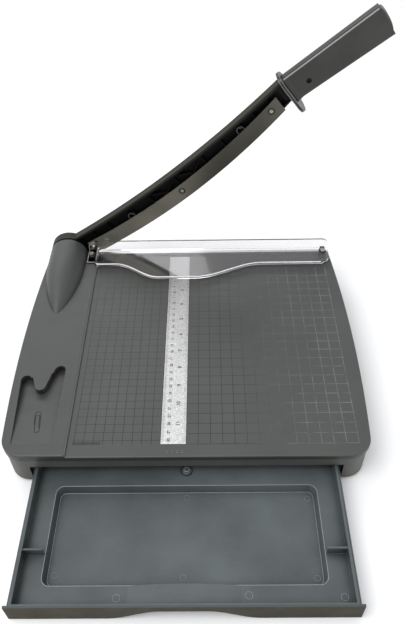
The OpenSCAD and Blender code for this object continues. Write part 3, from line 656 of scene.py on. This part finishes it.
# a thin skin over the fence's slope in the lit table grey: painted light
lift = 0.03
slope = [
    (x + dx, y, z)
    for y in (fence_front, fence_rear)
    for x, z in ((FENCE_X - 0.25, SURFACE_Z + 0.4), (slope_top + 0.25, STRIP_Z - 0.4))
    for dx in (-0.2, lift)
]
slope_faces = [(1, 3, 7, 5), (0, 4, 6, 2), (0, 1, 5, 4), (2, 6, 7, 3), (0, 2, 3, 1), (4, 5, 7, 6)]
piece("fence_slope_light", mesh_of("fence_slope_light", slope, slope_faces), "base", TABLE_PAINTED_LIGHT)

POCKET_DEEP_Z = STRIP_Z - 8.4
POCKET_LOW_Y, POCKET_TOP_Y = CUT_Y - 238, CUT_Y - 305.5


def pocket_floor(y):
    """Height of the clip pocket's floor at y."""
    part = min(1, max(0, (POCKET_LOW_Y - y) / (POCKET_LOW_Y - POCKET_TOP_Y)))
    return POCKET_DEEP_Z + part * (STRIP_Z - 0.5 - POCKET_DEEP_Z)


def clip_wire():
    """A paper clip's outline, laid on the pocket's sloping floor and leaning a little to the right."""
    flat = [(2.6, -6.5)] + arc(0, 8.5, 2.6, 0, 180, 8) + arc(0.6, -9.5, 3.2, 180, 360, 8)
    flat += arc(0.2, 12.5, 3.6, 0, 180, 8) + [(-3.4, -1.0)]
    lean = math.radians(7)
    points = []
    for u, v in flat:
        x = -158.4 + 0.85 * u * math.cos(lean) - v * math.sin(lean)
        y = CUT_Y - 277 + u * math.sin(lean) + v * math.cos(lean)
        points.append((x, y, pocket_floor(y) + 0.02))
    return points


# the clip's raised outline, drawn near-black: painted shade
piece("clip_emblem", tube("clip_emblem", clip_wire(), 0.32), "base", GROOVE_SHADE)
dash_x = [-20 + 5 * i for i in range(4)]
dash_y = [FRONT_Y + 5.5, FRONT_Y + 7.7]
marks = [(x, y, x + 2.5, y) for x in dash_x for y in dash_y]
piece("mould_marks", ridges("mould_marks", marks, SURFACE_Z, 0.5, 0.05), "base", TABLE_PAINTED_LIGHT)


# ------------------------------------------------------------ drawer details

LEDGE_Z, PAN_Z = 15.5, 6.0
PAN_LENGTH, PAN_SETBACK = 101.3, 21.8
PAN_HALF_WIDTH = 133.2
PAN_R = 8.0
DRAFT = 3.1  # how far the pan's walls lean in on their way down
pan_half = PAN_LENGTH / 2
pan_y = tray_low.y + PAN_SETBACK + pan_half
rim_outline = rounded_loop(PAN_HALF_WIDTH + 0.2, pan_half + 0.2, PAN_R + 0.2, 0, pan_y)
rim_points = [(x, y, LEDGE_Z - 0.12) for x, y in rim_outline]
foot_outline = rounded_loop(PAN_HALF_WIDTH - DRAFT, pan_half - DRAFT, 5.9, 0, pan_y)
foot_points = [(x, y, PAN_Z + 0.1) for x, y in foot_outline]
# bright lines along the pan's top edge and its foot: painted highlight
piece("pan_rim_highlight", tube("pan_rim_highlight", rim_points, 0.3, closed=True), "drawer", DRAWER_HIGHLIGHT)
piece("pan_foot_highlight", tube("pan_foot_highlight", foot_points, 0.26, closed=True), "drawer", DRAWER_HIGHLIGHT)
ledge_places = ((-62, 10.5), (59, 12.5), (145.5, 10.5))
ledge_spots = [(x, tray_low.y + y, LEDGE_Z) for x, y in ledge_places]
pan_places = ((124, 40), (124.5, -41), (-124, -37), (0, 42), (-2, -40))
pan_spots = [(x, pan_y + y, PAN_Z) for x, y in pan_places]
# ejector-pin marks, drawn as rings in the drawer's painted highlight colour
piece("ejector_marks_ledge", loops("ejector_marks_ledge", ledge_spots, 3.4, 0.16), "drawer", DRAWER_HIGHLIGHT)
piece("ejector_marks_pan", loops("ejector_marks_pan", pan_spots, 2.8, 0.12), "drawer", DRAWER_HIGHLIGHT)
stud = (stud_low + stud_high) / 2
piece("stud_glint", loops("stud_glint", [(stud.x, stud.y, stud_high.z - 0.1)], 2.7, 0.35), "drawer", DRAWER_HIGHLIGHT)
# a near-black ring around the stud: painted shade in its gap
piece("stud_gap", loops("stud_gap", [(stud.x, stud.y, LEDGE_Z)], 6.0, 0.35), "drawer", GROOVE_SHADE)


# ------------------------------------------------------------ arm details

BLADE_Y = CUT_Y + 0.12
ARM_Y = BLADE_Y + 1.8
ARM_MID = ARM_Y + 6
COLLAR_X, COLLAR_T = 358.6, 3.6
SCREW_UP, BOSS_UP = 11.6, 21  # heights of the blade's screws and of the cover's bosses over the cutting edge


def keen(x):
    """Cutting edge of the blade in the arm's frame."""
    return -31.4 + 0.00058 * (x - 155) ** 2


screw_spots = [(x, keen(x) + SCREW_UP) for x in (184, 332)]
# near-black rings around the blade's screws: painted shade
screw_rings = discs("blade_screw_rings", screw_spots, 2.3, 4.2, BLADE_Y - 0.04, BLADE_Y + 0.3)
piece("blade_screw_rings", screw_rings, "arm", GROOVE_SHADE)
boss_spots = [(x, keen(x) + BOSS_UP) for x in (107, 290)]
piece("boss_rings", discs("boss_rings", boss_spots, 4.0, 5.1, ARM_Y + 0.45, ARM_Y + 0.7), "arm", BOSS)


def collar_path(x, half_y, half_z):
    """The collar's oval outline at x along the arm."""
    oval = rounded_loop(half_y, half_z, half_y - 0.01, ARM_MID - 1, 0.4)
    return [on_arm(x, y, z) for y, z in oval]


# light tubes along both edges of the collar: painted highlight
rim_x = (COLLAR_X + 0.3, COLLAR_X + COLLAR_T - 0.3)
rim_highlights = [tube("rim", collar_path(x, 13.75, 27.05), 0.45, closed=True) for x in rim_x]
piece("collar_rim_highlights", joined("collar_rim_highlights", rim_highlights), "arm", COLLAR_HIGHLIGHT)


def along_grip(forward, height):
    """A line along the top of the grip, which rises towards its end."""
    return [on_arm(x, ARM_MID - forward, height + (x - 362) / 110) for x in (364, 400, 440, 480)]


# a light tube along the grip's top edge is a painted highlight; the near-black tube behind it is painted
# shade
piece("grip_highlight_line", tube("grip_highlight_line", along_grip(9.3, 21.2), 0.85), "arm", GRIP_HIGHLIGHT)
piece("grip_groove", tube("grip_groove", along_grip(7.3, 21.85), 0.55), "arm", GROOVE_SHADE)


# ------------------------------------------------------------ guard details

PAPER_GAP, LIP_H = 6, 3.4
GUARD_TOP = SURFACE_Z + PAPER_GAP + LIP_H
WALL_Y = CUT_Y - 4.5


def blend(x, a, b):
    t = min(1, max(0, (x - a) / (b - a)))
    return t * t * (3 - 2 * t)


def reach(x):
    """How far the guard reaches in front of the cutting edge at x."""
    return 35 + 26 * blend(x, -96, -40) - 26 * blend(x, 8, 94)


# whitish tubes along the guard's lip, edges and studs: painted highlight
lip = [(x, CUT_Y - reach(x) + 0.6, GUARD_TOP - 0.6) for x in range(-122, 175, 3)]
piece("guard_lip", tube("guard_lip", lip, 0.8), "base", EDGE_HIGHLIGHT)
foot_rear, foot_front = WALL_Y + 0.4, CUT_Y - 25.7
foot_left, foot_right = -135.7, FENCE_X - 1.3
foot_top, step_top = STRIP_Z + 1.9, GUARD_TOP - 0.3
foot_left_edge = [(foot_left, foot_rear, foot_top), (foot_left, foot_front, foot_top)]
foot_right_edge = [(foot_right, foot_front, foot_top), (foot_right, foot_rear, foot_top)]
outline = [tube("edge", foot_left_edge + foot_right_edge, 0.28)]
step = [
    (foot_right, foot_front, foot_top),
    (foot_right, foot_front, step_top),
    (foot_right, foot_rear, step_top),
]
outline.append(tube("edge", step, 0.28))
corner = [(x, WALL_Y + 0.2, z) for x, z in arc(-126.9, SURFACE_Z + 13.8, 7.8, 180, 90, 6)]
outline.append(tube("edge", [(foot_left + 0.9, WALL_Y + 0.2, STRIP_Z + 2)] + corner, 0.25))
piece("guard_outline", joined("guard_outline", outline), "base", EDGE_HIGHLIGHT)
stud_ends = [[(x, WALL_Y + y, z) for y in (-0.9, 0.4)] for x, z in ((-128.5, 63), (-122.5, 59))]
studs = [tube("stud", ends, 1.3, sides=16) for ends in stud_ends]
piece("guard_studs", joined("guard_studs", studs), "base", EDGE_HIGHLIGHT)


# ------------------------------------------------------------ camera, floor and light


def place_camera():
    """The viewing angle of the reference: in front of the drawer, looking down at about 45 degrees."""
    place = Vector((25.28, -505.93, 610.48)) * MM
    yaw, pitch, roll = -0.0161, 0.7962, -0.0216
    forward = Vector((math.sin(yaw) * math.cos(pitch), math.cos(yaw) * math.cos(pitch), -math.sin(pitch)))
    level = Vector((math.cos(yaw), -math.sin(yaw), 0))
    raised = level.cross(forward)
    right = level * math.cos(roll) + raised * math.sin(roll)
    up = raised * math.cos(roll) - level * math.sin(roll)
    data = bpy.data.cameras.new("camera")
    data.sensor_width = 36
    data.lens = 36.84
    data.clip_start = 0.01
    data.clip_end = 50
    camera = bpy.data.objects.new("camera", data)
    camera.matrix_world = Matrix.Translation(place) @ Matrix((right, up, -forward)).transposed().to_4x4()
    bpy.context.scene.collection.objects.link(camera)
    bpy.context.scene.camera = camera


def softbox(name, place, target, size, power, colour=(1, 1, 1)):
    data = bpy.data.lights.new(name, "AREA")
    data.shape = "RECTANGLE"
    data.size, data.size_y = size
    data.energy = power
    data.color = colour
    light = bpy.data.objects.new(name, data)
    light.location = place
    light.rotation_euler = (Vector(target) - Vector(place)).to_track_quat("-Z", "Y").to_euler()
    bpy.context.scene.collection.objects.link(light)


def pale_floor():
    mesh = bpy.data.meshes.new("floor")
    reach = 8.0
    corners = [(-reach, -reach, 0), (reach, -reach, 0), (reach, reach, 0), (-reach, reach, 0)]
    mesh.from_pydata(corners, [], [(0, 1, 2, 3)])
    floor = bpy.data.objects.new("floor", mesh)
    bpy.context.scene.collection.objects.link(floor)
    s = Shader("floor_paper")
    s.base(s.ramp(s.noise(3, 3), (0.3, (0.86, 0.86, 0.855)), (0.7, (0.9, 0.9, 0.895))))
    s.roughness(s.spread(s.noise(40, 3), 0.75, 0.9))
    mesh.materials.append(s.material)


def soft_sky():
    world = bpy.data.worlds.new("studio")
    world.use_nodes = True
    background = world.node_tree.nodes["Background"]
    background.inputs["Color"].default_value = (0.96, 0.97, 1.0, 1)
    background.inputs["Strength"].default_value = 0.85
    bpy.context.scene.world = world


place_camera()
pale_floor()
soft_sky()
softbox("key", (-0.75, -0.55, 1.6), (0, 0, 0.05), (1.2, 1.2), 20)
softbox("rear", (-0.9, 1.5, 1.5), (0, 0, 0.05), (2.0, 1.0), 11)
softbox("side", (1.3, -0.7, 0.35), (0.15, -0.15, 0.03), (0.6, 0.6), 3)
bpy.context.scene.view_settings.view_transform = "Standard"
